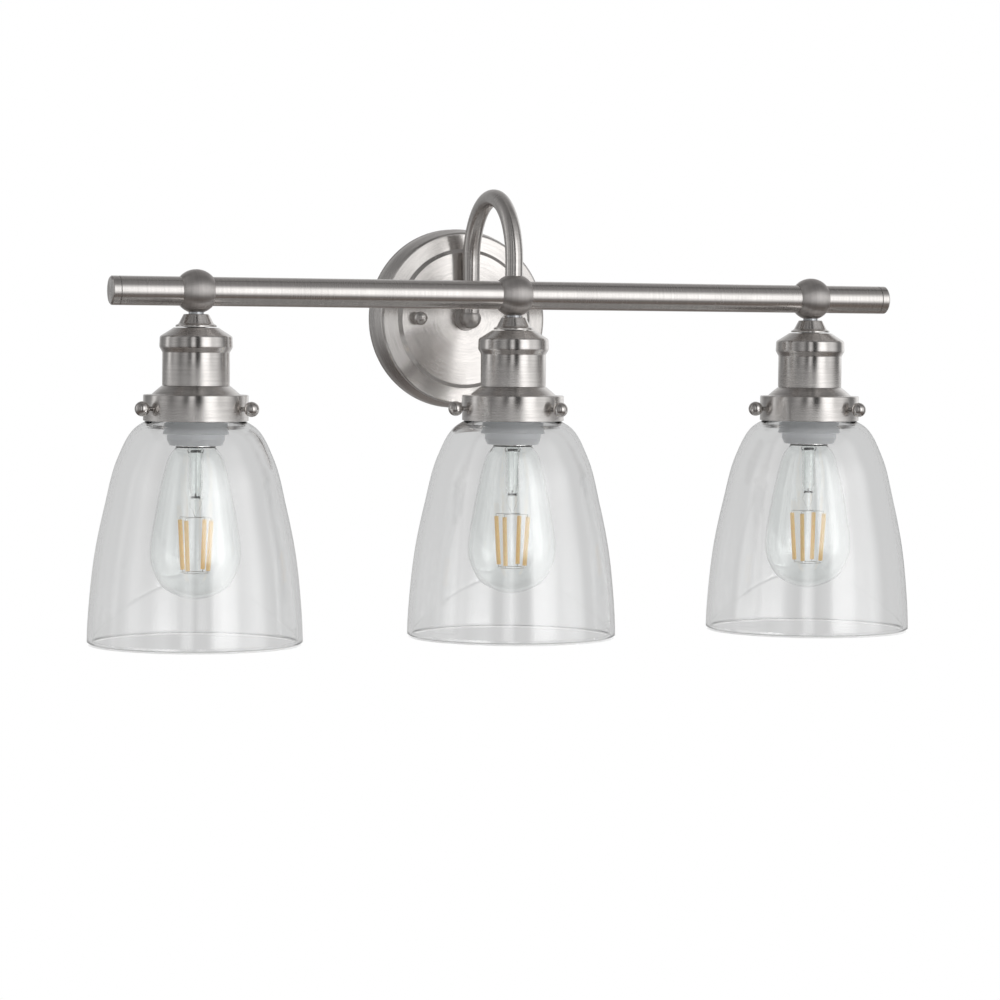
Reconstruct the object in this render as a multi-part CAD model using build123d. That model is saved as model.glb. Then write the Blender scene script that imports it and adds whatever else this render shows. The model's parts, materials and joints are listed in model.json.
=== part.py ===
from build123d import *
import os

# A three-lamp vanity light bar. Millimetres. The origin is the backplate's centre on the wall,
# +X runs along the bar, +Y goes into the wall and +Z is up.

# Crossbar and the balls that carry the lamps
bar_radius = 19.05 / 2
bar_wall = 1.2
bar_half_length = 277.2
bar_reach = 124.6
bar_rise = 15.35
ball_radius = 14.4
end_cap_width = 5.6
end_cap_gap = 0.3
end_cap_spigot = 11.0
lamp_spacing = 220.0

# Backplate, from the wall forwards
canopy_base_radius = 63.4
canopy_edge_radius = 59.6
canopy_depth = 21.8
canopy_face_depth = 26.2
canopy_sheet = 1.0
strap_length = 112.0
strap_width = 22.0
strap_sheet = 1.6
box_screw_spacing = 88.9
box_slot_length = 9.5
box_slot_width = 4.6
strap_lead_hole_radius = 8.0
stud_radius = 2.0
stud_spacing = 71.0
stud_length = 33.0
ground_screw_x = 18.0

# Gooseneck arm
arm_radius = 6.0
arm_wall = 1.0
arch_radius = 43.74
arch_height = 66.87
elbow_ball_radius = 7.2
elbow_cavity_radius = 4.6
arm_end_height = 2.2
elbow_nipple_start = 6.2
nipple_radius = 5.0
nipple_bore_radius = 3.9

# Lamp heads, as heights from the bar's axis and radii from the lamp's axis
cup_radius = 21.95
cup_collar_radius = 23.9
cup_sheet = 1.0
cup_bottom = -61.5
fitter_radius = 34.3
fitter_sheet = 1.1
fitter_bottom = -84.4
shade_rim = -230.45
shade_rim_radius = 70.4
shade_wall = 3.0
shade_neck_radius = 29.6
socket_radius = 18.6
socket_bottom = -100.5
bulb_seat = -101.5
bulb_cap_radius = 26.1 / 2
bulb_bottom = -201.0
bulb_wall = 0.8
filament_radius = 1.4
filament_top_spread = 11.9
filament_bottom_spread = 9.5
screw_height = -76.2
screw_radius = 1.5
screw_ball_radius = 4.95
screw_ball_distance = 40.9
screw_tip_distance = 29.9

# Wiring
lead_radius = 0.8
lead_lane = 1.8
lead_offset = 0.9
lead_bend = 5.0

# Clearance of a screwed or plugged fit that the hand can undo
fit_gap = 0.08

lamps = {"left": -lamp_spacing, "centre": 0.0, "right": lamp_spacing}
# Angle of each lamp's first thumbscrew, from straight ahead and positive towards +X
screw_turns = {"left": -73, "centre": -90, "right": -90}
bar_axis = Pos(0, -bar_reach, bar_rise)
forwards = Rot(90, 0, 0)
sideways = Rot(0, 90, 0)
rear_leg_y = -bar_reach + 2 * arch_radius


def turned(*corners):
    """A solid turned about Z from corners (radius, height) or (radius, height, rounding)."""
    points = [(corner[0], 0, corner[1]) for corner in corners]
    roundings = [corner[2] if len(corner) == 3 else 0 for corner in corners]
    outline = FilletPolyline(*points, radius=roundings, close=True)
    return revolve(make_face(outline), Axis.Z)


def rod(radius, bottom, top):
    """A round bar on the Z axis between two heights."""
    return Pos(0, 0, bottom) * extrude(Circle(radius), top - bottom)


def pipe(radius, bore, bottom, top):
    """A round tube on the Z axis between two heights."""
    return Pos(0, 0, bottom) * extrude(Circle(radius) - Circle(bore), top - bottom)


def hex_nut(across_flats, bore, bottom, top):
    """A hexagonal nut on the Z axis between two heights."""
    outline = RegularPolygon(across_flats / 2, 6, major_radius=False) - Circle(bore)
    return Pos(0, 0, bottom) * extrude(outline, top - bottom)


def inset(curve, depth, stations):
    """Points inside a curve of the XZ plane that runs upwards, a wall's thickness away from it."""
    points = []
    for station in stations:
        along = curve.tangent_at(station)
        points.append(curve.position_at(station) + Vector(-along.Z, 0, along.X) * depth)
    return points


def swept(path, radius):
    """A round rod along a path."""
    start = Plane(path.position_at(0), z_dir=path.tangent_at(0))
    return sweep(start * Circle(radius), path)


# Wall mount and backplate


def mounting_bracket():
    strap = Box(strap_length, strap_sheet, strap_width)
    strap = Pos(0, -strap_sheet / 2, 0) * fillet(strap.edges().filter_by(Axis.Y), 3)
    for side in (-1, 1):
        slot = extrude(SlotOverall(box_slot_length, box_slot_width), 3 * strap_sheet)
        strap -= Pos(side * box_screw_spacing / 2, strap_sheet, 0) * forwards * slot
        strap -= Pos(side * stud_spacing / 2, 0, 0) * forwards * rod(stud_radius, -1, 3)
    strap -= forwards * rod(strap_lead_hole_radius, -1, 3)
    strap -= Pos(ground_screw_x, 0, 0) * forwards * rod(stud_radius, -1, 3)
    return strap


def bracket_studs():
    stud = forwards * rod(stud_radius, 0, stud_length)
    return Compound(children=[Pos(side * stud_spacing / 2, 0, 0) * stud for side in (-1, 1)])


def ground_screw():
    screw = turned((0, 0), (stud_radius, 0), (stud_radius, 1.6), (3.4, 1.6), (3.4, 4.2, 0.8), (0, 4.2))
    return Pos(ground_screw_x, 0, 0) * forwards * screw


def canopy():
    """A spun dish: curved side, sloping border, raised step and a faintly domed face."""
    sheet = canopy_sheet
    dish = turned(
        (canopy_base_radius, 0),
        (canopy_base_radius - 0.5, 10, 30),
        (canopy_edge_radius + 0.6, canopy_depth - 0.2, 2.5),
        (48.8, 23.2, 0.8),
        (46.4, 25.4, 0.8),
        (20, canopy_face_depth - 0.1, 60),
        (nipple_radius, canopy_face_depth - 0.1),
        (nipple_radius, canopy_face_depth - 0.1 - sheet),
        (20, canopy_face_depth - 0.1 - sheet, 60),
        (46.0, 25.4 - sheet, 0.8),
        (48.4, 23.2 - sheet, 0.8),
        (canopy_edge_radius - 0.4, canopy_depth - 0.2 - sheet, 1.5),
        (canopy_base_radius - 0.5 - sheet, 10, 30),
        (canopy_base_radius - sheet, 0),
    )
    dish = forwards * dish
    for side in (-1, 1):
        dish -= Pos(side * stud_spacing / 2, 0, 0) * forwards * rod(stud_radius + 0.3, 15, 30)
    return dish


def cap_nut(side):
    """A ball-headed nut on the end of a stud."""
    seat = canopy_face_depth
    ball_centre = seat + 6.4
    nut = rod(3.2, seat, ball_centre) + Pos(0, 0, ball_centre) * Sphere(4.9)
    nut -= rod(stud_radius + fit_gap, seat - 1, stud_length + 0.4)
    return Pos(side * stud_spacing / 2, 0, 0) * forwards * nut


# Gooseneck arm


def arm_collar():
    collar = turned(
        (nipple_radius, canopy_face_depth - 0.1),
        (8.5, canopy_face_depth - 0.1),
        (8.5, canopy_face_depth + 1.8, 0.5),
        (7.5, canopy_face_depth + 1.8),
        (7.5, canopy_face_depth + 3.0, 0.4),
        (6.8, canopy_face_depth + 3.0),
        (6.8, canopy_face_depth + 4.2, 0.4),
        (nipple_radius, canopy_face_depth + 4.2),
    )
    return forwards * collar


def arm_elbow():
    """The ball fitting where the arm's rear leg turns into the wall."""
    ball = Sphere(elbow_ball_radius)
    neck_length = -rear_leg_y - (canopy_face_depth + 4.2)
    ball += Rot(-90, 0, 0) * rod(6.2, 0, neck_length)
    ball -= rod(arm_radius, arm_end_height, elbow_ball_radius + 1)
    ball -= rod(elbow_cavity_radius, 0, arm_end_height + 0.5) + Sphere(elbow_cavity_radius)
    ball -= Rot(-90, 0, 0) * rod(nipple_bore_radius, 0, neck_length + 1)
    ball -= Rot(-90, 0, 0) * rod(nipple_radius, elbow_nipple_start, neck_length + 1)
    return Pos(0, rear_leg_y, 0) * ball


def arm_nipple():
    return forwards * pipe(nipple_radius, nipple_bore_radius, 17, -rear_leg_y - elbow_nipple_start)


def arm_locknut():
    return forwards * hex_nut(14, nipple_radius, 20.3, canopy_face_depth - 0.1 - canopy_sheet - 0.8)


def arm_centreline(lane, outset):
    """The arm's arch and legs, moved sideways by lane and out from the arch's centre by outset."""
    front_y = -bar_reach - outset
    rear_y = rear_leg_y + outset
    spring = bar_rise + arch_height - arch_radius
    crown = Vector(lane, (front_y + rear_y) / 2, spring + arch_radius + outset)
    return ThreePointArc((lane, front_y, spring), crown, (lane, rear_y, spring)), front_y, rear_y, spring


def arm():
    arch, front_y, rear_y, spring = arm_centreline(0, 0)
    foot = bar_rise + bar_radius - bar_wall
    path = Line((0, front_y, foot), arch @ 0) + arch + Line(arch @ 1, (0, rear_y, arm_end_height))
    return swept(path, arm_radius) - swept(path, arm_radius - arm_wall)


# Crossbar


def crossbar():
    tube_end = bar_half_length - end_cap_width - end_cap_gap
    tube = sideways * pipe(bar_radius, bar_radius - bar_wall, -tube_end, tube_end)
    for x in lamps.values():
        tube -= Pos(x, 0, 0) * rod(nipple_radius, -bar_radius - 1, -bar_radius / 2)
    tube -= rod(arm_radius, bar_radius / 2, bar_radius + 1)
    return bar_axis * tube


def end_caps():
    inner = bar_half_length - end_cap_width
    plug_radius = bar_radius - bar_wall
    plug = turned(
        (0, inner - end_cap_spigot),
        (plug_radius, inner - end_cap_spigot),
        (plug_radius, inner),
        (bar_radius, inner),
        (bar_radius, bar_half_length, 1.0),
        (0, bar_half_length),
    )
    return Compound(children=[bar_axis * Rot(0, side * 90, 0) * plug for side in (-1, 1)])


def bar_ball(x, carries_arm):
    ball = Sphere(ball_radius) - sideways * rod(bar_radius, -ball_radius - 1, ball_radius + 1)
    ball -= rod(nipple_radius, -ball_radius - 1, 0)
    if carries_arm:
        ball -= rod(arm_radius, 0, ball_radius + 1)
    return bar_axis * Pos(x, 0, 0) * ball


# Lamp heads, built on the Z axis with the bar's axis at height 0


def lamp_nipples():
    nipple = pipe(nipple_radius, nipple_bore_radius - 0.3, -49, -7.2)
    return Compound(children=[bar_axis * Pos(x, 0, 0) * nipple for x in lamps.values()])


def lamp_locknuts():
    nut = hex_nut(14, nipple_radius, -28.4, -24.6)
    return Compound(children=[bar_axis * Pos(x, 0, 0) * nut for x in lamps.values()])


def neck_cone():
    return turned(
        (nipple_radius, -14.8),
        (8.2, -14.8, 0.8),
        (11.6, -21.0, 1.5),
        (13.4, -22.2),
        (13.4, -23.6, 0.5),
        (nipple_radius, -23.6),
    )


def socket_cup():
    """A domed cup with a rounded collar above its plain barrel."""
    return turned(
        (nipple_radius, -23.6),
        (14.6, -23.6, 1),
        (18.3, -26.0, 8),
        (cup_collar_radius - 0.3, -29.3, 2),
        (cup_collar_radius, -36.2, 2.5),
        (cup_radius, -39.6, 2),
        (cup_radius, cup_bottom),
        (cup_radius - cup_sheet, cup_bottom),
        (cup_radius - cup_sheet, -39.9, 2),
        (cup_collar_radius - cup_sheet, -36.5, 2),
        (cup_collar_radius - cup_sheet - 0.3, -29.8, 1),
        (18.0, -27.0, 7),
        (14.4, -24.6, 1),
        (nipple_radius, -24.6),
    )


def fitter(screw_turn):
    """The gallery that holds the shade: domed shoulder, straight band, three threaded holes."""
    ring = turned(
        (15.4, cup_bottom),
        (22.2, cup_bottom, 0.4),
        (25.7, -64.3, 8),
        (28.8, -67.1, 0.8),
        (fitter_radius, -67.3, 0.5),
        (fitter_radius, fitter_bottom, 0.3),
        (fitter_radius - fitter_sheet, fitter_bottom, 0.3),
        (fitter_radius - fitter_sheet, -68.4),
        (28.2, -68.2, 0.8),
        (24.9, -65.2, 7),
        (21.8, cup_bottom - fitter_sheet),
        (15.4, cup_bottom - fitter_sheet),
    )
    hole = sideways * rod(screw_radius + fit_gap, fitter_radius - 5, fitter_radius + 2)
    for angle in screw_angles(screw_turn):
        ring -= Pos(0, 0, screw_height) * Rot(0, 0, angle - 90) * hole
    return ring


def screw_angles(screw_turn):
    return [screw_turn + 120 * number for number in range(3)]


def thumbscrew(angle):
    """A ball-headed screw that points at the lamp's axis."""
    shank = rod(screw_radius, screw_tip_distance, screw_ball_distance)
    screw = sideways * (shank + Pos(0, 0, screw_ball_distance) * Sphere(screw_ball_radius))
    return Pos(0, 0, screw_height) * Rot(0, 0, angle - 90) * screw


def shade():
    """A clear bell with a thick wall, a short neck and a lip that the thumbscrews hook under."""
    shoulder = Vector(36.0, 0, shade_rim + 144.0)
    bell = Spline(
        (shade_rim_radius, 0, shade_rim),
        (69.0, 0, shade_rim + 28),
        (65.5, 0, shade_rim + 59),
        (59.2, 0, shade_rim + 90),
        (50.6, 0, shade_rim + 122),
        shoulder,
        tangents=((0, 0, 1), (-0.872, 0, 0.49)),
    )
    inner_bell = Spline(*inset(bell, shade_wall, (0, 0.2, 0.4, 0.6, 0.8, 0.9, 0.96, 1)))
    inner_neck = shade_neck_radius - shade_wall
    lip_radius = shade_neck_radius + 2.0
    lip_top = shade_rim + 160.2
    neck = FilletPolyline(
        shoulder,
        (shade_neck_radius, 0, shade_rim + 147.6),
        (shade_neck_radius, 0, lip_top - 3.9),
        (lip_radius, 0, lip_top - 2.6),
        (lip_radius, 0, lip_top),
        (inner_neck, 0, lip_top),
        (inner_neck, 0, shade_rim + 145.9),
        inner_bell @ 1,
        radius=(2, 0.5, 0.8, 1, 1, 3),
    )
    rim = Line(inner_bell @ 0, bell @ 0)
    return revolve(make_face([bell, neck, inner_bell, rim]), Axis.Z)


def socket_body():
    """The pale moulded lampholder: terminal chamber above, stepped skirt below."""
    body = turned(
        (nipple_radius, -46.0),
        (15.4, -46.0, 2),
        (15.4, cup_bottom - fitter_sheet),
        (socket_radius, cup_bottom - fitter_sheet),
        (socket_radius, -86.6),
        (21.6, -86.6),
        (21.6, -92.4, 0.8),
        (18.9, -92.4),
        (18.9, -96.4, 0.6),
        (17.0, socket_bottom, 0.8),
        (13.9, socket_bottom),
        (13.9, -74.0),
        (3.0, -74.0),
        (3.0, -70.0),
        (11.0, -70.0),
        (11.0, -52.0),
        (nipple_radius, -52.0),
    )
    return body - Pos(0, 9, -71.5) * Box(4, 1.6, 6)


def socket_contacts():
    """The screw shell with its riser, and the centre contact."""
    shell = pipe(13.9, 13.35, -98.8, -74.0) + pipe(13.9, 8.0, -74.6, -74.0)
    shell += Pos(0, 9, -71.5) * Box(4, 1.6, 6)
    contact = rod(3.0, -74.2, -70.0) + rod(4.5, -70.0, -68.5)
    return Compound(children=[shell, contact])


# Bulbs, in the same frame as the lamp heads


def bulb_glass():
    """A pear-shaped envelope, open at the neck inside the cap."""
    neck_radius = bulb_cap_radius - 0.55
    outer = Spline(
        (0, 0, bulb_bottom),
        (12.6, 0, -198.2),
        (23.0, 0, -191.0),
        (29.6, 0, -174.0),
        (26.8, 0, -148.0),
        (18.6, 0, -110.5),
        (neck_radius, 0, bulb_seat),
        tangents=((1, 0, 0), (-0.75, 0, 0.66)),
    )
    inner = Spline(*inset(outer, bulb_wall, (0, 0.1, 0.2, 0.3, 0.4, 0.55, 0.7, 0.85, 0.95)))
    neck = Polyline(
        outer @ 1,
        (neck_radius, 0, bulb_seat + 6),
        (neck_radius - bulb_wall, 0, bulb_seat + 6),
        (neck_radius - bulb_wall, 0, bulb_seat - 1),
        inner @ 1,
    )
    axis_edge = Line(inner @ 0, outer @ 0)
    return revolve(make_face([outer, neck, inner, axis_edge]), Axis.Z)


def bulb_cap():
    """A medium Edison screw cap: thin shell, insulating cone and contact button."""
    return turned(
        (0, -74.5),
        (4.7, -74.5, 0.4),
        (4.7, -75.9),
        (5.5, -75.9),
        (11.5, -78.6),
        (bulb_cap_radius, -79.2, 0.3),
        (bulb_cap_radius, bulb_seat),
        (bulb_cap_radius - 0.55, bulb_seat),
        (bulb_cap_radius - 0.55, -80.0),
        (0, -80.0),
    )


def bulb_stem():
    """The glass foot that carries the filaments, sealed to the neck, with its pinch and post."""
    neck_bore = bulb_cap_radius - 0.55 - bulb_wall
    return turned(
        (neck_bore, bulb_seat + 4),
        (neck_bore, bulb_seat + 3),
        (4.6, bulb_seat - 1, 3),
        (4.6, -135),
        (2.6, -140, 1),
        (0.9, -141),
        (0.9, -147.4),
        (0, -147.4),
        (0, -138),
        (3.6, -134),
        (3.6, bulb_seat, 3),
        (neck_bore - 1, bulb_seat + 4),
    )


def bulb_filaments():
    """Four filament sticks that lean in towards the bottom, joined by a wire cross and ring."""
    stick_top = -147.6
    stick_bottom = -183.6
    cage = Pos(0, 0, stick_bottom) * Torus(filament_bottom_spread, 0.35)
    cage += rod(1.2, stick_top - 0.4, stick_top + 0.2)
    for number in range(4):
        turn = Rot(0, 0, 45 + 90 * number)
        stick_axis = Line((filament_top_spread, 0, stick_top), (filament_bottom_spread, 0, stick_bottom))
        cage += turn * swept(stick_axis, filament_radius)
        cage += turn * Pos(0, 0, stick_top - 0.1) * sideways * rod(0.3, 0, filament_top_spread)
    return cage


# Wiring


def lamp_lead(x, outset, terminal):
    """One lead from a lamp's terminal up into the bar, over the arm's arch and through to the wall."""
    lane = lead_lane * (x > 0) - lead_lane * (x < 0)
    arch, front_y, rear_y, spring = arm_centreline(lane, outset)
    climb = [
        (x, front_y + terminal, bar_rise - 68.5),
        (x, front_y + terminal, bar_rise - 61.5),
        (x, front_y, bar_rise - 54.0),
    ]
    if terminal == 0:
        climb = climb[:1]
    bends = [3.0] * (len(climb) - 1)
    if x:
        climb += [(x, front_y, bar_rise), (lane, front_y, bar_rise)]
        bends += [lead_bend, lead_bend]
    climb.append(arch @ 0)
    rise = FilletPolyline(*climb, radius=bends) if bends else Line(*climb)
    fall = FilletPolyline(arch @ 1, (lane, rear_y, outset), (lane, -4, outset), radius=4 - outset)
    return swept(rise + arch + fall, lead_radius)


def black_leads():
    return Compound(children=[lamp_lead(x, lead_offset, 0) for x in lamps.values()])


def white_leads():
    terminal = 9 - lead_offset
    return Compound(children=[lamp_lead(x, -lead_offset, terminal) for x in lamps.values()])


def ground_wire():
    """A ring tongue under the arm's locknut, and a wire from it to the ground screw."""
    back = canopy_face_depth - 0.1 - canopy_sheet - 0.8
    ring = forwards * pipe(8.0, nipple_radius, back, back + 0.8)
    tongue = Pos(9.5, -back - 0.4, 0) * Box(6, 0.8, 5)
    wire_y = -back + 0.75
    path = FilletPolyline(
        (8.8, wire_y, 0),
        (24.5, wire_y, 0),
        (24.5, -2.8, 0),
        (ground_screw_x + 3.4, -2.8, 0),
        radius=(4, 1.5),
    )
    return ring + tongue + swept(path, lead_radius)


def write(node, solid):
    export_step(solid, f"parts/{node}.step")


def main():
    os.makedirs("parts", exist_ok=True)
    write("mounting_bracket", mounting_bracket())
    write("bracket_studs", bracket_studs())
    write("ground_screw", ground_screw())
    write("canopy", canopy())
    write("cap_nut_left", cap_nut(-1))
    write("cap_nut_right", cap_nut(1))
    write("arm_collar", arm_collar())
    write("arm_elbow", arm_elbow())
    write("arm_nipple", arm_nipple())
    write("arm_locknut", arm_locknut())
    write("arm", arm())
    write("crossbar", crossbar())
    write("end_caps", end_caps())
    write("lamp_nipples", lamp_nipples())
    write("lamp_locknuts", lamp_locknuts())
    write("black_leads", black_leads())
    write("white_leads", white_leads())
    write("ground_wire", ground_wire())
    for side, x in lamps.items():
        here = bar_axis * Pos(x, 0, 0)
        write(f"bar_ball_{side}", bar_ball(x, carries_arm=side == "centre"))
        write(f"neck_cone_{side}", here * neck_cone())
        write(f"socket_cup_{side}", here * socket_cup())
        write(f"fitter_{side}", here * fitter(screw_turns[side]))
        write(f"shade_{side}", here * shade())
        write(f"socket_body_{side}", here * socket_body())
        write(f"socket_contacts_{side}", here * socket_contacts())
        write(f"bulb_glass_{side}", here * bulb_glass())
        write(f"bulb_cap_{side}", here * bulb_cap())
        write(f"bulb_stem_{side}", here * bulb_stem())
        write(f"bulb_filaments_{side}", here * bulb_filaments())
        for number, angle in enumerate(screw_angles(screw_turns[side]), start=1):
            write(f"thumbscrew_{side}_{number}", here * thumbscrew(angle))


main()
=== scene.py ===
"""Looks for the three-lamp vanity light bar: brushed nickel, clear glass bells and filament bulbs.

Lengths in the outlines are millimetres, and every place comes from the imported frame.
"""
import json
import math

import bmesh
import bpy
from mathutils import Matrix, Vector


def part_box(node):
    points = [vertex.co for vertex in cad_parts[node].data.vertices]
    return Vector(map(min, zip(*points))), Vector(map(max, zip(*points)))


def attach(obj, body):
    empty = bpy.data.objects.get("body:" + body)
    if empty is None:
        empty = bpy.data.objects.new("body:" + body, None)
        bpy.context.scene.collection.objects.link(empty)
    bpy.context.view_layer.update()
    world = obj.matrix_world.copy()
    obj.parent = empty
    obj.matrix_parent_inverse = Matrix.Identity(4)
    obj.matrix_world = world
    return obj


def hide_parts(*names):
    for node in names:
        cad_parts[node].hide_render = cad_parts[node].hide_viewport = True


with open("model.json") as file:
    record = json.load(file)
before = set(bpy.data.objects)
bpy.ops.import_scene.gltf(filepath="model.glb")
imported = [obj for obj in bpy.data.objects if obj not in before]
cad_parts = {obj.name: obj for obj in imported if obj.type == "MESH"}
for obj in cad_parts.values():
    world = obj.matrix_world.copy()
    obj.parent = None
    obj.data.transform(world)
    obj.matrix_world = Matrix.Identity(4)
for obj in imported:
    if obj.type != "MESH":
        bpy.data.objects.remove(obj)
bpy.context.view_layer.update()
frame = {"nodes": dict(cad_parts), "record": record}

MM = 0.001
SIDES = ("left", "centre", "right")
ROUND_STEPS = 5
UV_UNIT = 100.0

# Camera: where it stands from the bar's centre, in mm, and how it is turned, in degrees
CAMERA_FROM_BAR = (-755.8, -2072.8, -28.2)
CAMERA_YAW = 19.82
CAMERA_PITCH = 2.85
CAMERA_ROLL = 0.48
CAMERA_LENS = 117.7

bodies = frame["record"]["behaviour"]["bodies"]
node_body = {node: body for body, nodes in bodies.items() for node in nodes}


def middle(node):
    low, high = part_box(node)
    return (low + high) / 2


BAR = middle("crossbar")
PLATE = Vector((BAR.x, 0.0, middle("canopy").z))
LAMP_AXIS = {side: Vector((middle(f"shade_{side}").x, BAR.y, BAR.z)) for side in SIDES}

# The shade's open end, from the bar's axis, and how high its rounded edge reaches above that
SHADE_RIM = -230.45
EDGE_HEIGHT = 1.3

# ---------------------------------------------------------------- outlines


def unit(vector):
    length = math.hypot(*vector)
    return (vector[0] / length, vector[1] / length)


def rounded(corners, closed=True, default=0.25):
    """Corners (r, z) or (r, z, rounding) as points and outward normals, each corner an arc."""
    points = []
    count = len(corners)
    for number, corner in enumerate(corners):
        here = corner[:2]
        if not closed and number in (0, count - 1):
            points.append((here, None))
            continue
        before = corners[number - 1][:2]
        after = corners[(number + 1) % count][:2]
        back = (before[0] - here[0], before[1] - here[1])
        ahead = (after[0] - here[0], after[1] - here[1])
        room = 0.45 * min(math.hypot(*back), math.hypot(*ahead))
        back, ahead = unit(back), unit(ahead)
        cosine = max(-1.0, min(1.0, back[0] * ahead[0] + back[1] * ahead[1]))
        half = math.acos(cosine) / 2
        radius = corner[2] if len(corner) > 2 else default
        cut = min(radius / math.tan(half), room) if half < math.pi / 2 - 1e-4 else 0.0
        if cut < 1e-4:
            points.append((here, None))
            continue
        radius = cut * math.tan(half)
        bisector = unit((back[0] + ahead[0], back[1] + ahead[1]))
        centre = [here[axis] + bisector[axis] * radius / math.sin(half) for axis in (0, 1)]
        start = [here[axis] + back[axis] * cut - centre[axis] for axis in (0, 1)]
        turn = math.pi - 2 * half
        if start[0] * ahead[1] - start[1] * ahead[0] < 0:
            turn = -turn
        for step in range(ROUND_STEPS + 1):
            angle = turn * step / ROUND_STEPS
            spoke = (
                start[0] * math.cos(angle) - start[1] * math.sin(angle),
                start[0] * math.sin(angle) + start[1] * math.cos(angle),
            )
            points.append(((centre[0] + spoke[0], centre[1] + spoke[1]), unit(spoke)))
    return points


def smooth(knots, start_slope, end_slope, steps=14):
    """Points on a smooth curve through the knots, with the given directions at its ends."""
    slopes = [Vector(start_slope).normalized()]
    for before, after in zip(knots, knots[2:]):
        slopes.append(Vector((after[0] - before[0], after[1] - before[1])).normalized())
    slopes.append(Vector(end_slope).normalized())
    curve = []
    for number in range(len(knots) - 1):
        first, last = Vector(knots[number]), Vector(knots[number + 1])
        reach = (last - first).length
        for step in range(steps + (number == len(knots) - 2)):
            t = step / steps
            curve.append(
                first * (2 * t**3 - 3 * t**2 + 1)
                + slopes[number] * reach * (t**3 - 2 * t**2 + t)
                + last * (3 * t**2 - 2 * t**3)
                + slopes[number + 1] * reach * (t**3 - t**2)
            )
    return curve


def inset(curve, depth):
    """The curve moved to its left by a wall's thickness."""
    moved = []
    for number, point in enumerate(curve):
        along = (curve[min(number + 1, len(curve) - 1)] - curve[max(number - 1, 0)]).normalized()
        moved.append(Vector((max(point.x - along.y * depth, 0.0), point.y + along.x * depth)))
    return moved


def with_normals(points, closed):
    """Fills in missing normals from each point's neighbours and turns them all outwards."""
    count = len(points)
    area = sum(
        points[i][0][0] * points[(i + 1) % count][0][1] - points[(i + 1) % count][0][0] * points[i][0][1]
        for i in range(count)
    )
    outward = 1.0 if area > 0 else -1.0
    finished = []
    for number, (here, normal) in enumerate(points):
        before = points[number - 1][0] if closed or number else here
        after = points[(number + 1) % count][0] if closed or number < count - 1 else here
        along = unit((after[0] - before[0], after[1] - before[1]))
        side = (along[1] * outward, -along[0] * outward)
        if normal is None:
            normal = side
        elif normal[0] * side[0] + normal[1] * side[1] < 0:
            normal = (-normal[0], -normal[1])
        finished.append((here, normal))
    return finished


# ---------------------------------------------------------------- meshes


def finish_mesh(name, vertices, faces, normals, loops_uv):
    mesh = bpy.data.meshes.new(name)
    mesh.from_pydata(vertices, [], faces)
    mesh.polygons.foreach_set("use_smooth", [True] * len(mesh.polygons))
    layer = mesh.uv_layers.new(name="grain")
    for polygon, corners in zip(mesh.polygons, loops_uv):
        for loop, coordinate in zip(polygon.loop_indices, corners):
            layer.data[loop].uv = coordinate
    mesh.normals_split_custom_set_from_vertices(normals)
    piece = bpy.data.objects.new(name, mesh)
    bpy.context.scene.collection.objects.link(piece)
    return piece


def lathe(name, points, place, closed=True, segments=128, ripple=None):
    """Turns an outline about Z, in mm, and puts it where place says.

    points are ((r, z), normal) pairs. An open outline starts and ends on the axis. ripple(z, angle)
    adds to the radius, for threads.
    """
    outline = with_normals(points, closed)
    vertices, normals, rings = [], [], []
    rotation = place.to_3x3()
    for (radius, height), normal in outline:
        if radius < 1e-6:
            rings.append([len(vertices)] * segments)
            vertices.append(place @ Vector((0, 0, height * MM)))
            normals.append(rotation @ Vector((0, 0, 1 if normal[1] > 0 else -1)))
            continue
        rings.append(list(range(len(vertices), len(vertices) + segments)))
        for number in range(segments):
            angle = 2 * math.pi * number / segments
            grown = radius + (ripple(height, angle) if ripple else 0.0)
            spoke = Vector((math.cos(angle), math.sin(angle), 0))
            vertices.append(place @ (spoke * grown * MM + Vector((0, 0, height * MM))))
            normals.append(rotation @ (spoke * normal[0] + Vector((0, 0, normal[1]))))
    lengths = [0.0]
    for (here, _), (after, _) in zip(outline, outline[1:] + outline[:1]):
        lengths.append(lengths[-1] + math.dist(here, after) / UV_UNIT)
    widest = max(point[0][0] for point in outline)
    around = 2 * math.pi * widest / UV_UNIT
    faces, loops_uv = [], []
    count = len(outline)
    for number in range(count if closed else count - 1):
        low, high = rings[number], rings[(number + 1) % count]
        v0, v1 = lengths[number], lengths[number + 1]
        for k in range(segments):
            n = (k + 1) % segments
            u0, u1 = around * k / segments, around * (k + 1) / segments
            corners = [(low[k], (v0, u0)), (low[n], (v0, u1)), (high[n], (v1, u1)), (high[k], (v1, u0))]
            kept = []
            for index, coordinate in corners:
                if index not in [old for old, _ in kept]:
                    kept.append((index, coordinate))
            if len(kept) > 2:
                faces.append([index for index, _ in kept])
                loops_uv.append([coordinate for _, coordinate in kept])
    piece = finish_mesh(name, vertices, faces, normals, loops_uv)
    if ripple or signed_volume(piece) < 0:
        repair_facing(piece, keep_normals=not ripple, normals=normals)
    return piece


def signed_volume(piece):
    volume = 0.0
    points = [vertex.co for vertex in piece.data.vertices]
    for polygon in piece.data.polygons:
        first = points[polygon.vertices[0]]
        for a, b in zip(polygon.vertices[1:], polygon.vertices[2:]):
            volume += first.dot(points[a].cross(points[b]))
    return volume


def repair_facing(piece, keep_normals, normals):
    """Turns the faces outwards; a threaded piece takes plain smooth normals."""
    if signed_volume(piece) < 0:
        piece.data.flip_normals()
    if keep_normals:
        piece.data.normals_split_custom_set_from_vertices(normals)
    else:
        blank = [(0.0, 0.0, 0.0)] * len(piece.data.loops)
        piece.data.normals_split_custom_set(blank)


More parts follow.
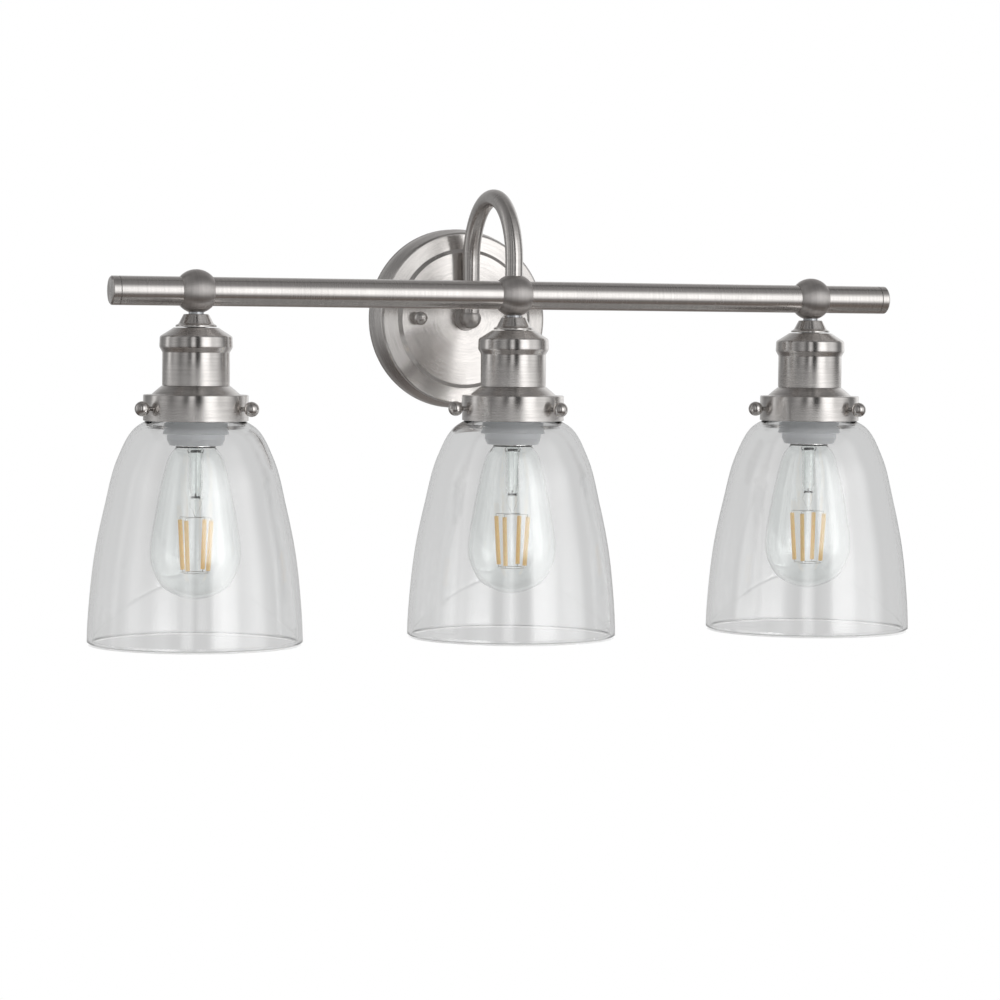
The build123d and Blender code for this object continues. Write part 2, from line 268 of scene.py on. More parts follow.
def sweep(name, path, radius, bore=None, segments=64):
    """A round rod or tube along a path of (point, direction) pairs in metres that stays in one plane."""
    first, last = path[0][1], path[-1][1]
    side = first.cross(path[len(path) // 2][1])
    if side.length < 1e-6:
        side = first.orthogonal()
    side.normalize()
    vertices, normals, rings = [], [], []
    radii = [radius] if bore is None else [radius, bore]
    for surface, width in enumerate(radii):
        for point, along in path:
            up = along.cross(side).normalized()
            rings.append(list(range(len(vertices), len(vertices) + segments)))
            for number in range(segments):
                angle = 2 * math.pi * number / segments
                spoke = side * math.cos(angle) + up * math.sin(angle)
                vertices.append(point + spoke * width)
                normals.append(spoke if surface == 0 else -spoke)
    faces, loops_uv = [], []
    stations = len(path)
    scale = 1 / (UV_UNIT * MM)
    lengths = [0.0]
    for (here, _), (after, _) in zip(path, path[1:]):
        lengths.append(lengths[-1] + (after - here).length * scale)

    def strip(low, high, v0, v1, width):
        for k in range(segments):
            n = (k + 1) % segments
            u0, u1 = (2 * math.pi * width * scale * step / segments for step in (k, k + 1))
            faces.append([low[k], low[n], high[n], high[k]])
            loops_uv.append([(v0, u0), (v0, u1), (v1, u1), (v1, u0)])

    for surface, width in enumerate(radii):
        base = surface * stations
        for number in range(stations - 1):
            pair = (rings[base + number], rings[base + number + 1])
            if surface:
                pair = (pair[1], pair[0])
            strip(*pair, lengths[number], lengths[number + 1], width)
    if bore is None:
        for ring, end in ((rings[0], -first), (rings[-1], last)):
            faces.append(list(ring) if end == last else list(reversed(ring)))
            loops_uv.append([(0.0, 0.0)] * segments)
    else:
        strip(rings[stations], rings[0], 0.0, 0.01, radius)
        strip(rings[stations - 1], rings[2 * stations - 1], 0.0, 0.01, radius)
    piece = finish_mesh(name, vertices, faces, normals, loops_uv)
    if signed_volume(piece) < 0:
        piece.data.flip_normals()
        piece.data.normals_split_custom_set_from_vertices(normals)
    return piece


def straight(start, end, steps=2):
    along = (end - start).normalized()
    return [(start.lerp(end, step / steps), along) for step in range(steps + 1)]


def join_pieces(name, pieces):
    """Joins meshes that are one thing with one finish."""
    whole = pieces[0]
    with bpy.context.temp_override(active_object=whole, selected_editable_objects=pieces):
        bpy.ops.object.join()
    whole.name = name
    return whole


# Placements: a lathe's own axis is Z
UPRIGHT = Matrix.Identity(4)
FORWARDS = Matrix.Rotation(math.radians(90), 4, "X")
ALONG_BAR = Matrix.Rotation(math.radians(90), 4, "Y")


def at(point, turn=UPRIGHT):
    return Matrix.Translation(point) @ turn


def stand_for(piece, node, finish, also=()):
    """Gives a piece its finish and puts it in a CAD node's place, on that node's body, and hides the node."""
    piece.data.materials.clear()
    piece.data.materials.append(finish)
    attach(piece, node_body[node])
    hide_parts(node, *also)
    return piece


def add_to(piece, node, finish):
    """Gives a piece its finish and lets it ride beside the one that stands for the node."""
    piece.data.materials.clear()
    piece.data.materials.append(finish)
    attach(piece, node_body[node])
    return piece


# ---------------------------------------------------------------- materials


def new_material(name):
    made = bpy.data.materials.new(name)
    made.use_nodes = True
    tree = made.node_tree
    return made, tree, tree.nodes["Principled BSDF"]


def noise(tree, vector, scale, detail=3.0, stretch=(1, 1, 1)):
    mapping = tree.nodes.new("ShaderNodeMapping")
    mapping.inputs["Scale"].default_value = stretch
    texture = tree.nodes.new("ShaderNodeTexNoise")
    texture.inputs["Scale"].default_value = scale
    texture.inputs["Detail"].default_value = detail
    tree.links.new(vector, mapping.inputs["Vector"])
    tree.links.new(mapping.outputs["Vector"], texture.inputs["Vector"])
    return texture.outputs["Fac"]


def spread(tree, value, low, high):
    """Maps a noise value to a range."""
    ranged = tree.nodes.new("ShaderNodeMapRange")
    ranged.inputs["From Min"].default_value = 0.3
    ranged.inputs["From Max"].default_value = 0.7
    ranged.inputs["To Min"].default_value = low
    ranged.inputs["To Max"].default_value = high
    tree.links.new(value, ranged.inputs["Value"])
    return ranged.outputs["Result"]


def tint(tree, value, dark, light):
    ramp = tree.nodes.new("ShaderNodeValToRGB")
    ramp.color_ramp.elements[0].position = 0.3
    ramp.color_ramp.elements[1].position = 0.7
    ramp.color_ramp.elements[0].color = (*dark, 1)
    ramp.color_ramp.elements[1].color = (*light, 1)
    tree.links.new(value, ramp.inputs["Fac"])
    return ramp.outputs["Color"]


def bump(tree, shader, height, strength, distance):
    node = tree.nodes.new("ShaderNodeBump")
    node.inputs["Strength"].default_value = strength
    node.inputs["Distance"].default_value = distance
    tree.links.new(height, node.inputs["Height"])
    tree.links.new(node.outputs["Normal"], shader.inputs["Normal"])


def brushed_nickel(name, colour, roughness, anisotropy, grain):
    """Nickel plate brushed round each turned part: the lines run round it and blur along it."""
    made, tree, shader = new_material(name)
    shader.inputs["Metallic"].default_value = 1.0
    shader.inputs["Anisotropic"].default_value = anisotropy
    coordinates = tree.nodes.new("ShaderNodeTexCoord")
    uv, place = coordinates.outputs["UV"], coordinates.outputs["Object"]
    lines = noise(tree, uv, 1.0, detail=4.0, stretch=(420, 9, 1))
    bands = noise(tree, uv, 1.0, detail=2.0, stretch=(70, 2.5, 1))
    clouds = noise(tree, place, 38.0, detail=3.0)
    light = tuple(min(1.0, channel * 1.05) for channel in colour)
    dark = tuple(channel * 0.93 for channel in colour)
    tree.links.new(tint(tree, bands, dark, light), shader.inputs["Base Color"])
    rough = tree.nodes.new("ShaderNodeMath")
    rough.operation = "MULTIPLY"
    tree.links.new(spread(tree, lines, roughness * 0.85, roughness * 1.15), rough.inputs[0])
    tree.links.new(spread(tree, clouds, 0.9, 1.1), rough.inputs[1])
    tree.links.new(rough.outputs["Value"], shader.inputs["Roughness"])
    bump(tree, shader, lines, grain, 0.00004)
    tangent = tree.nodes.new("ShaderNodeTangent")
    tangent.direction_type = "UV_MAP"
    tangent.uv_map = "grain"
    tree.links.new(tangent.outputs["Tangent"], shader.inputs["Tangent"])
    return made


def plated(name, colour, roughness):
    """Zinc or brass on parts that have no grain map: faint clouding and fine pitting."""
    made, tree, shader = new_material(name)
    shader.inputs["Metallic"].default_value = 1.0
    place = tree.nodes.new("ShaderNodeTexCoord").outputs["Object"]
    clouds = noise(tree, place, 160.0)
    fine = noise(tree, place, 2200.0, detail=2.0)
    light = tuple(min(1.0, channel * 1.08) for channel in colour)
    dark = tuple(channel * 0.86 for channel in colour)
    tree.links.new(tint(tree, clouds, dark, light), shader.inputs["Base Color"])
    tree.links.new(spread(tree, clouds, roughness * 0.8, roughness * 1.2), shader.inputs["Roughness"])
    bump(tree, shader, fine, 0.12, 0.00003)
    return made


def moulded(name, colour, roughness, glow=0.0):
    """Moulded plastic: slight mottling and a fine eggshell skin. glow is a painted glow, an emission that
    stands for light in its depth.
    """
    made, tree, shader = new_material(name)
    # Painted light: a weak emission, though the part is no lamp
    shader.inputs["Emission Color"].default_value = (0.93, 0.97, 1.0, 1)
    shader.inputs["Emission Strength"].default_value = glow
    place = tree.nodes.new("ShaderNodeTexCoord").outputs["Object"]
    clouds = noise(tree, place, 120.0)
    skin = noise(tree, place, 1500.0, detail=2.0)
    dark = tuple(channel * 0.94 for channel in colour)
    tree.links.new(tint(tree, clouds, dark, colour), shader.inputs["Base Color"])
    tree.links.new(spread(tree, skin, roughness * 0.85, roughness * 1.15), shader.inputs["Roughness"])
    bump(tree, shader, skin, 0.08, 0.00005)
    return made


def clear_glass(name, colour, index, gloss, waviness, painted_glow_below=None):
    """Clear glass, faintly wavy like a blown form.

    Below the height that the last argument gives, in metres, it lets less through and glows weakly: painted
    light that stands for light running down the wall.
    """
    made, tree, shader = new_material(name)
    shader.inputs["Transmission Weight"].default_value = 1.0
    shader.inputs["Roughness"].default_value = 0.0
    shader.inputs["IOR"].default_value = index
    shader.inputs["Specular IOR Level"].default_value = gloss
    shader.inputs["Base Color"].default_value = (*colour, 1)
    place = tree.nodes.new("ShaderNodeTexCoord").outputs["Object"]
    waves = noise(tree, place, 22.0, detail=1.0, stretch=(1, 1, 0.35))
    bump(tree, shader, waves, waviness, 0.0006)
    if painted_glow_below is not None:
        # Painted light: near the rim the glass lets less through and glows weakly
        blend = 0.0008
        height = tree.nodes.new("ShaderNodeSeparateXYZ")
        tree.links.new(place, height.inputs["Vector"])
        for socket, at_edge, above in (("Transmission Weight", 0.2, 1.0), ("Emission Strength", 0.33, 0.0)):
            change = tree.nodes.new("ShaderNodeMapRange")
            tree.links.new(height.outputs["Z"], change.inputs["Value"])
            change.inputs["From Min"].default_value = painted_glow_below - blend
            change.inputs["From Max"].default_value = painted_glow_below + blend
            change.inputs["To Min"].default_value = at_edge
            change.inputs["To Max"].default_value = above
            tree.links.new(change.outputs["Result"], shader.inputs[socket])
    return made


def phosphor(name):
    """Yellow phosphor over a row of chips: faintly beaded. The lamp is off; its weak glow is painted light
    that stands for light in the phosphor's depth.
    """
    made, tree, shader = new_material(name)
    place = tree.nodes.new("ShaderNodeTexCoord").outputs["Object"]
    beads = noise(tree, place, 700.0, detail=2.0)
    tree.links.new(tint(tree, beads, (1.0, 0.62, 0.22), (1.0, 0.78, 0.36)), shader.inputs["Base Color"])
    # Painted glow: the lamp is off, so this emission is painted light
    shader.inputs["Emission Color"].default_value = (1.0, 0.66, 0.28, 1)
    shader.inputs["Emission Strength"].default_value = 0.35
    tree.links.new(spread(tree, beads, 0.35, 0.5), shader.inputs["Roughness"])
    bump(tree, shader, beads, 0.3, 0.0002)
    return made


NICKEL = brushed_nickel("brushed_nickel", (0.70, 0.675, 0.655), 0.24, 0.9, 0.03)
SATIN = brushed_nickel("satin_nickel", (0.60, 0.575, 0.555), 0.34, 0.3, 0.02)
BAR_BALL_NICKEL = brushed_nickel("bar_ball_nickel", (0.70, 0.67, 0.65), 0.46, 0.94, 0.02)
BALL_NICKEL = brushed_nickel("ball_nickel", (0.66, 0.635, 0.615), 0.2, 0.2, 0.01)
ZINC = plated("zinc_plate", (0.62, 0.64, 0.66), 0.34)
GREEN_ZINC = plated("green_zinc", (0.05, 0.32, 0.11), 0.38)
WIRE = plated("nickel_wire", (0.80, 0.80, 0.79), 0.45)
BRASS = plated("stamped_brass", (0.80, 0.60, 0.28), 0.30)
CAP_METAL = plated("rolled_aluminium", (0.72, 0.72, 0.70), 0.28)
# The lampholder's glow is painted light, standing for light in the plastic's depth
LAMPHOLDER = moulded("lampholder_plastic", (0.93, 0.95, 0.97), 0.30, glow=0.10)
BLACK_PLASTIC = moulded("black_insulation", (0.025, 0.025, 0.027), 0.45)
WHITE_PLASTIC = moulded("white_insulation", (0.82, 0.82, 0.80), 0.45)
GREEN_PLASTIC = moulded("green_insulation", (0.05, 0.30, 0.10), 0.45)
# Height below which the shade's edge carries painted light: a weak glow and less see-through glass
RIM_PAINTED_GLOW_TOP = BAR.z + (SHADE_RIM + EDGE_HEIGHT) * MM
SHADE_GLASS = clear_glass("shade_glass", (0.99, 0.992, 0.992), 1.45, 0.9, 0.12, RIM_PAINTED_GLOW_TOP)
BULB_GLASS = clear_glass("bulb_glass", (0.985, 1.0, 0.995), 1.47, 0.6, 0.02)
PHOSPHOR = phosphor("filament_phosphor")

# ---------------------------------------------------------------- backplate and arm

CANOPY_FACE = 26.1
SHEET = 1.0
ARM_RADIUS = 0.006
ARM_BORE = 0.005
ARCH_STEPS = 96


def build_canopy():
    outline = rounded(
        [
            (63.4, 0.0, 0.3),
            (62.9, 10.0, 30),
            (60.2, 21.6, 2.5),
            (48.8, 23.2, 0.8),
            (46.4, 25.4, 0.8),
            (20.0, CANOPY_FACE, 60),
            (5.0, CANOPY_FACE, 0.2),
            (5.0, CANOPY_FACE - SHEET, 0.2),
            (20.0, CANOPY_FACE - SHEET, 60),
            (46.0, 25.4 - SHEET, 0.8),
            (48.4, 23.2 - SHEET, 0.8),
            (59.2, 21.6 - SHEET, 1.5),
            (61.9, 10.0, 30),
            (62.4, 0.0, 0.3),
        ]
    )
    stand_for(lathe("backplate", outline, at(PLATE, FORWARDS), segments=256), "canopy", NICKEL)


def build_cap_nut(side):
    """A ball on a short stem with a small washer face, bored for its stud."""
    seat = CANOPY_FACE + 0.1
    centre = seat + 6.4
    ball = 4.9
    corners = [(2.1, seat, 0.15), (3.2, seat, 0.3), (3.2, centre - 3.9, 0.4)]
    for degrees in range(-48, 90, 6):
        angle = math.radians(degrees)
        corners.append((ball * math.cos(angle), centre + ball * math.sin(angle), 20))
    corners.append((0.0, centre + ball))
    corners = [(0.0, seat + 7.0), (2.1, seat + 7.0, 0.2)] + corners
    node = f"cap_nut_{side}"
    x = middle(node).x
    outline = rounded(corners, closed=False)
    place = at(Vector((x, PLATE.y, PLATE.z)), FORWARDS)
    stand_for(lathe(f"cap_nut_ball_{side}", outline, place, closed=False, segments=96), node, BALL_NICKEL)


def build_studs():
    low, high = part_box("bracket_studs")
    radius = 0.002
    pitch = 0.7
    steps = 240
    length = -low.y / MM
    studs = []
    for x in (low.x + radius, high.x - radius):
        corners = [((0.0, 0.0), None), ((1.75, 0.0), None)]
        corners += [((1.8, length * step / steps), None) for step in range(1, steps)]
        corners += [((1.5, length), None), ((0.0, length), None)]

        def thread(height, angle):
            if height < 0.4 or height > length - 0.4:
                return 0.0
            return 0.18 * math.cos(2 * math.pi * height / pitch - angle)

        place = at(Vector((x, 0, PLATE.z)), FORWARDS)
        studs.append(lathe("stud", corners, place, closed=False, segments=32, ripple=thread))
    stand_for(join_pieces("threaded_studs", studs), "bracket_studs", ZINC)


def build_arm_fittings():
    face = CANOPY_FACE
    collar = rounded(
        [
            (5.0, face, 0.1),
            (8.5, face, 0.2),
            (8.5, face + 1.8, 0.6),
            (7.5, face + 1.9, 0.15),
            (7.5, face + 3.0, 0.5),
            (6.8, face + 3.1, 0.15),
            (6.8, face + 4.3, 0.4),
            (5.0, face + 4.3, 0.1),
        ]
    )
    stand_for(lathe("arm_collar_rings", collar, at(PLATE, FORWARDS), segments=128), "arm_collar", SATIN)
    rear = (ARM_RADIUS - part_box("arm")[1].y) / MM
    ball = 7.2
    corners = [(4.0, face + 4.3, 0.1), (6.2, face + 4.3, 0.2), (6.2, rear - 3.7, 0.6)]
    for degrees in range(-28, 90, 6):
        angle = math.radians(degrees)
        corners.append((ball * math.cos(angle), rear + ball * math.sin(angle), 20))
    corners.append((0.0, rear + ball))
    corners = [(0.0, rear - 2.0), (4.0, rear - 2.0, 0.2)] + corners
    elbow = lathe("arm_elbow_ball", rounded(corners, closed=False), at(PLATE, FORWARDS), closed=False)
    stand_for(elbow, "arm_elbow", SATIN)


def arm_path():
    """Front leg up, half a circle over and rear leg down, as points and directions."""
    low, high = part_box("arm")
    front, rear, top = low.y + ARM_RADIUS, high.y - ARM_RADIUS, high.z - ARM_RADIUS
    arch = (rear - front) / 2
    spring = top - arch
    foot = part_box("crossbar")[1].z - BAR_WALL * MM
    path = straight(Vector((0, front, foot)), Vector((0, front, spring)), 6)[:-1]
    for step in range(ARCH_STEPS + 1):
        angle = math.pi * step / ARCH_STEPS
        spot = Vector((0, front + arch - arch * math.cos(angle), spring + arch * math.sin(angle)))
        path.append((spot, Vector((0, math.sin(angle), math.cos(angle)))))
    path += straight(Vector((0, rear, spring)), Vector((0, rear, low.z)), 8)[1:]
    return path


def build_arm():
    stand_for(sweep("gooseneck", arm_path(), ARM_RADIUS, bore=ARM_BORE, segments=72), "arm", NICKEL)


# ---------------------------------------------------------------- crossbar

BAR_RADIUS = 9.525
BAR_WALL = 1.2
BALL_RADIUS = 14.4


def build_crossbar():
    low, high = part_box("crossbar")
    half = (high.x - low.x) / 2 / MM
    bore = BAR_RADIUS - BAR_WALL
    outline = rounded([(BAR_RADIUS, -half), (BAR_RADIUS, half), (bore, half), (bore, -half)], default=0.15)
    stand_for(lathe("bar_tube", outline, at(BAR, ALONG_BAR), segments=160), "crossbar", NICKEL)


def build_end_caps():
    low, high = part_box("end_caps")
    end = (high.x - low.x) / 2 / MM
    inner = (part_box("crossbar")[1].x - BAR.x) / MM
    outline = rounded(
        [
            (0.0, inner - 10.7),
            (8.3, inner - 10.7, 0.4),
            (8.3, inner - 0.5, 0.1),
            (9.0, inner, 0.1),
            (9.0, inner + 0.3, 0.1),
            (BAR_RADIUS, inner + 0.3, 0.2),
            (BAR_RADIUS, end - 0.9, 0.5),
            (BAR_RADIUS - 1.0, end, 0.5),
            (0.0, end),
        ],
        closed=False,
    )
    caps = []
    for turn in (ALONG_BAR, Matrix.Rotation(math.radians(-90), 4, "Y")):
        caps.append(lathe("end_cap", outline, at(BAR, turn), closed=False, segments=128))
    stand_for(join_pieces("bar_end_caps", caps), "end_caps", NICKEL)


def build_bar_ball(side):
    """A ball bored for the bar, with a fine rounded edge where the bar enters."""
    edge = math.sqrt(BALL_RADIUS**2 - BAR_RADIUS**2)
    reach = math.degrees(math.asin(edge / BALL_RADIUS))
    corners = [(BAR_RADIUS, edge - 0.3, 0.3), (BAR_RADIUS, 0.3 - edge, 0.3)]
    for step in range(37):
        angle = math.radians(-reach + 1.5 + (2 * reach - 3) * step / 36)
        corners.append((BALL_RADIUS * math.cos(angle), BALL_RADIUS * math.sin(angle), 20))
    ball = lathe(f"bar_ball_turned_{side}", rounded(corners), at(LAMP_AXIS[side], ALONG_BAR), segments=128)
    stand_for(ball, f"bar_ball_{side}", BAR_BALL_NICKEL)


# ---------------------------------------------------------------- lamp heads


def build_neck_cone(side):
    outline = rounded(
        [
            (5.0, -14.8, 0.1),
            (8.2, -14.8, 0.9),
            (11.4, -21.0, 2.0),
            (13.4, -22.0, 0.5),
            (13.4, -23.6, 0.5),
            (5.0, -23.6, 0.1),
        ]
    )
    stand_for(lathe(f"neck_cap_{side}", outline, at(LAMP_AXIS[side])), f"neck_cone_{side}", NICKEL)


def build_socket_cup(side):
    outline = rounded(
        [
            (5.0, -23.6, 0.1),
            (14.6, -23.6, 1.0),
            (18.3, -26.0, 8),
            (23.6, -29.3, 2),
            (23.9, -36.2, 2.8),
            (21.95, -39.6, 2.2),
            (21.95, -61.5, 0.3),
            (20.95, -61.5, 0.3),
            (20.95, -39.9, 2),
            (22.9, -36.5, 2),
            (22.6, -29.8, 1),
            (18.0, -27.0, 7),
            (14.4, -24.6, 1),
            (5.0, -24.6, 0.1),
        ]
    )
    stand_for(lathe(f"domed_cup_{side}", outline, at(LAMP_AXIS[side])), f"socket_cup_{side}", NICKEL)


def build_fitter(side):
    outline = rounded(
        [
            (15.4, -61.5, 0.2),
            (22.3, -61.5, 0.5),
            (25.7, -64.2, 7),
            (28.8, -67.0, 0.9),
            (34.3, -67.3, 0.6),
            (34.3, -84.4, 0.35),
            (33.2, -84.4, 0.35),
            (33.2, -68.4, 0.5),
            (28.2, -68.2, 0.8),
            (24.9, -65.2, 7),
            (21.8, -62.6, 0.3),
            (15.4, -62.6, 0.2),
        ]
    )
    stand_for(lathe(f"gallery_{side}", outline, at(LAMP_AXIS[side]), segments=160), f"fitter_{side}", NICKEL)


def build_thumbscrew(side, number):
    """A ball head, a short waist and a threaded shank, drawn from the tip outwards from the lamp's axis."""
    node = f"thumbscrew_{side}_{number}"
    low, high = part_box(node)
    spot = (low + high) / 2
    centre_z = (spot.z - BAR.z) / MM
    outwards = Vector((spot.x - LAMP_AXIS[side].x, spot.y - LAMP_AXIS[side].y, 0)).normalized()
    ball, distance, tip = 4.95, 40.9, 29.9
    shank, pitch, chamfer = 1.38, 0.5, 0.35
    corners = [((0.0, tip), None), ((1.1, tip), None), ((shank, tip + chamfer), None)]
    pitch_steps = 10
    threads = int((distance - 5.3 - tip) / pitch)
    for step in range(1, threads * pitch_steps):
        corners.append(((shank, tip + chamfer + pitch * step / pitch_steps), None))
    neck = distance - ball * math.cos(math.asin(2.0 / ball))
    corners.append(((1.5, neck - 0.25), None))
    for step in range(41):
        angle = math.radians(-66 + 156 * step / 40)
        corners.append(((max(ball * math.cos(angle), 0.0), distance + ball * math.sin(angle)), None))

    def thread(height, angle):
        if height < tip + 0.4 or height > tip + 0.3 + pitch * threads:
            return 0.0
        return 0.11 * math.cos(2 * math.pi * height / pitch - angle)

    aim = outwards.to_track_quat("Z", "Y").to_matrix().to_4x4()
    place = at(LAMP_AXIS[side] + Vector((0, 0, centre_z * MM)), aim)
    screw = lathe(f"ball_screw_{side}_{number}", corners, place, closed=False, segments=48, ripple=thread)
    stand_for(screw, node, BALL_NICKEL)


SHADE_WALL = 3.0


def build_shade(side):
    """A thick clear bell: rounded rim, tight shoulder, short neck and a lip inside the fitter."""
    knots = [
        (70.4, SHADE_RIM),
        (69.0, SHADE_RIM + 28),
        (65.5, SHADE_RIM + 59),
        (59.2, SHADE_RIM + 90),
        (50.6, SHADE_RIM + 122),
        (36.0, SHADE_RIM + 144),
    ]
    bell = smooth(knots, (0, 1), (-0.872, 0.49))
    hollow = inset(bell, SHADE_WALL)
    lip = SHADE_RIM + 160.2
    neck = rounded(
        [
            tuple(bell[-1]),
            (29.6, SHADE_RIM + 147.6, 2),
            (29.6, lip - 3.9, 0.5),
            (31.6, lip - 2.6, 0.8),
            (31.6, lip, 0.9),
            (26.6, lip, 0.9),
            (26.6, SHADE_RIM + 145.9, 3),
            tuple(hollow[-1]),
        ],
        closed=False,
    )
    corners = [tuple(hollow[0]) + (EDGE_HEIGHT,), tuple(bell[0]) + (EDGE_HEIGHT,)]
    rim = rounded([tuple(hollow[1]), *corners, tuple(bell[1])], closed=False)
    outline = [(tuple(point), None) for point in bell[2:-1]] + neck
    outline += [(tuple(point), None) for point in reversed(hollow[2:-1])] + rim
    shade = lathe(f"glass_bell_{side}", outline, at(LAMP_AXIS[side]), segments=256)
    stand_for(shade, f"shade_{side}", SHADE_GLASS)


def build_socket(side):
    outline = rounded(
        [
            (5.0, -46.0, 0.3),
            (15.4, -46.0, 2),
            (15.4, -62.6, 0.3),
            (18.6, -62.6, 0.3),
            (18.6, -86.6, 0.4),
            (21.6, -86.6, 0.5),
            (21.6, -92.4, 1.0),
            (18.9, -92.8, 0.4),
            (18.9, -96.4, 0.8),
            (17.0, -100.5, 1.0),
            (13.9, -100.5, 0.5),
            (13.9, -74.0, 0.3),
            (3.0, -74.0, 0.2),
            (3.0, -70.0, 0.2),
            (11.0, -70.0, 0.4),
            (11.0, -52.0, 0.4),
            (5.0, -52.0, 0.3),
        ]
    )
    holder = lathe(f"lampholder_{side}", outline, at(LAMP_AXIS[side]), segments=128)
    stand_for(holder, f"socket_body_{side}", LAMPHOLDER)


# ---------------------------------------------------------------- bulbs

BULB_SEAT = -101.5
BULB_NECK = 12.5
BULB_WALL = 0.8
# Filament sizes in metres
STICK_RADIUS = 0.0014
STICK_PIN = 0.0017
HEAD_SPREAD = 0.0119
FOOT_SPREAD = 0.0095
PIN_RADIUS = 0.0004
WIRE_RADIUS = 0.00022
LEAD_RADIUS = 0.00016


def build_bulb_glass(side):
    knots = [
        (0.0, -201.0),
        (12.6, -198.2),
        (23.0, -191.0),
        (29.6, -174.0),
        (26.8, -148.0),
        (18.6, -110.5),
        (BULB_NECK, BULB_SEAT),
    ]
    outer = smooth(knots, (1, 0), (-0.75, 0.66))
    inner = inset(outer, BULB_WALL)
    inner[0] = Vector((0.0, outer[0].y + BULB_WALL))
    bore = BULB_NECK - BULB_WALL
    outline = [(tuple(point), None) for point in outer]
    outline += rounded(
        [
            (BULB_NECK, BULB_SEAT + 0.5),
            (BULB_NECK, BULB_SEAT + 6, 0.3),
            (bore, BULB_SEAT + 6, 0.3),
            (bore, BULB_SEAT),
        ],
        closed=False,
    )
    outline += [(tuple(point), None) for point in reversed(inner[:-3])]
    glass = lathe(f"bulb_envelope_{side}", outline, at(LAMP_AXIS[side]), closed=False, segments=160)
    stand_for(glass, f"bulb_glass_{side}", BULB_GLASS)


def build_bulb_cap(side):
    """A rolled screw shell with its black insulator, contact button and a thin black ring at the glass's
    seat.
    """
    top, bottom, pitch = -79.4, BULB_SEAT + 0.1, 3.63
    shell = [((12.5, bottom), None), ((13.0, bottom), None)]
    steps = 120
    for step in range(1, steps):
        shell.append(((12.62, bottom + (top - bottom) * step / steps), None))
    shell += [((11.9, top + 0.3), None), ((11.6, top - 0.2), None)]
    shell += [((12.1, top + (bottom - top) * step / 40), None) for step in range(1, 40)]

    def knuckle(height, angle):
        edge = min(height - bottom, top - height)
        blend = max(0.0, min(1.0, (edge - 1.2) / 2.0))
        return 0.42 * blend * math.cos(2 * math.pi * height / pitch - angle)

    node = f"bulb_cap_{side}"
    place = at(LAMP_AXIS[side])
    stand_for(lathe(f"screw_shell_{side}", shell, place, segments=96, ripple=knuckle), node, CAP_METAL)
    insulator = rounded(
        [(0.0, -80.2), (11.7, -80.2, 0.2), (11.4, -78.7, 0.4), (5.5, -76.0, 0.3), (0.0, -76.0)], closed=False
    )
    add_to(lathe(f"cap_insulator_{side}", insulator, place, closed=False), node, BLACK_PLASTIC)
    button = rounded([(0.0, -76.1), (4.7, -76.1, 0.2), (4.3, -74.6, 0.7), (0.0, -74.5)], closed=False)
    add_to(lathe(f"cap_contact_{side}", button, place, closed=False), node, BRASS)
    # A thin black ring where the glass meets the shell
    ring = rounded([(12.5, -102.0), (13.2, -102.0), (13.05, -101.0), (12.5, -101.0)], default=0.2)
    add_to(lathe(f"dark_seat_ring_{side}", ring, place), node, BLACK_PLASTIC)


def build_bulb_stem(side):
    """Flared glass foot, flat pinch and thin post."""
    node = f"bulb_stem_{side}"
    place = at(LAMP_AXIS[side])
    bore = BULB_NECK - BULB_WALL
    foot = rounded(
        [
            (bore, BULB_SEAT + 4.2, 0.3),
            (bore, BULB_SEAT + 3.0, 0.4),
            (4.9, BULB_SEAT - 3, 4),
            (4.5, -128, 20),
            (4.2, -134, 2),
            (2.6, -136, 0.5),
            (2.2, -133, 0.5),
            (3.4, -128, 10),
            (3.8, BULB_SEAT - 2, 4),
            (bore - 1.5, BULB_SEAT + 4.2, 0.3),
        ]
    )
    stand_for(lathe(f"stem_tube_{side}", foot, place, segments=96), node, BULB_GLASS)
    post = rounded(
        [(0.0, -132.0), (1.3, -132.0, 0.4), (1.1, -140.0, 2), (0.8, -147.0, 0.6), (0.0, -147.4)], closed=False
    )
    add_to(lathe(f"stem_post_{side}", post, place, closed=False, segments=48), node, BULB_GLASS)


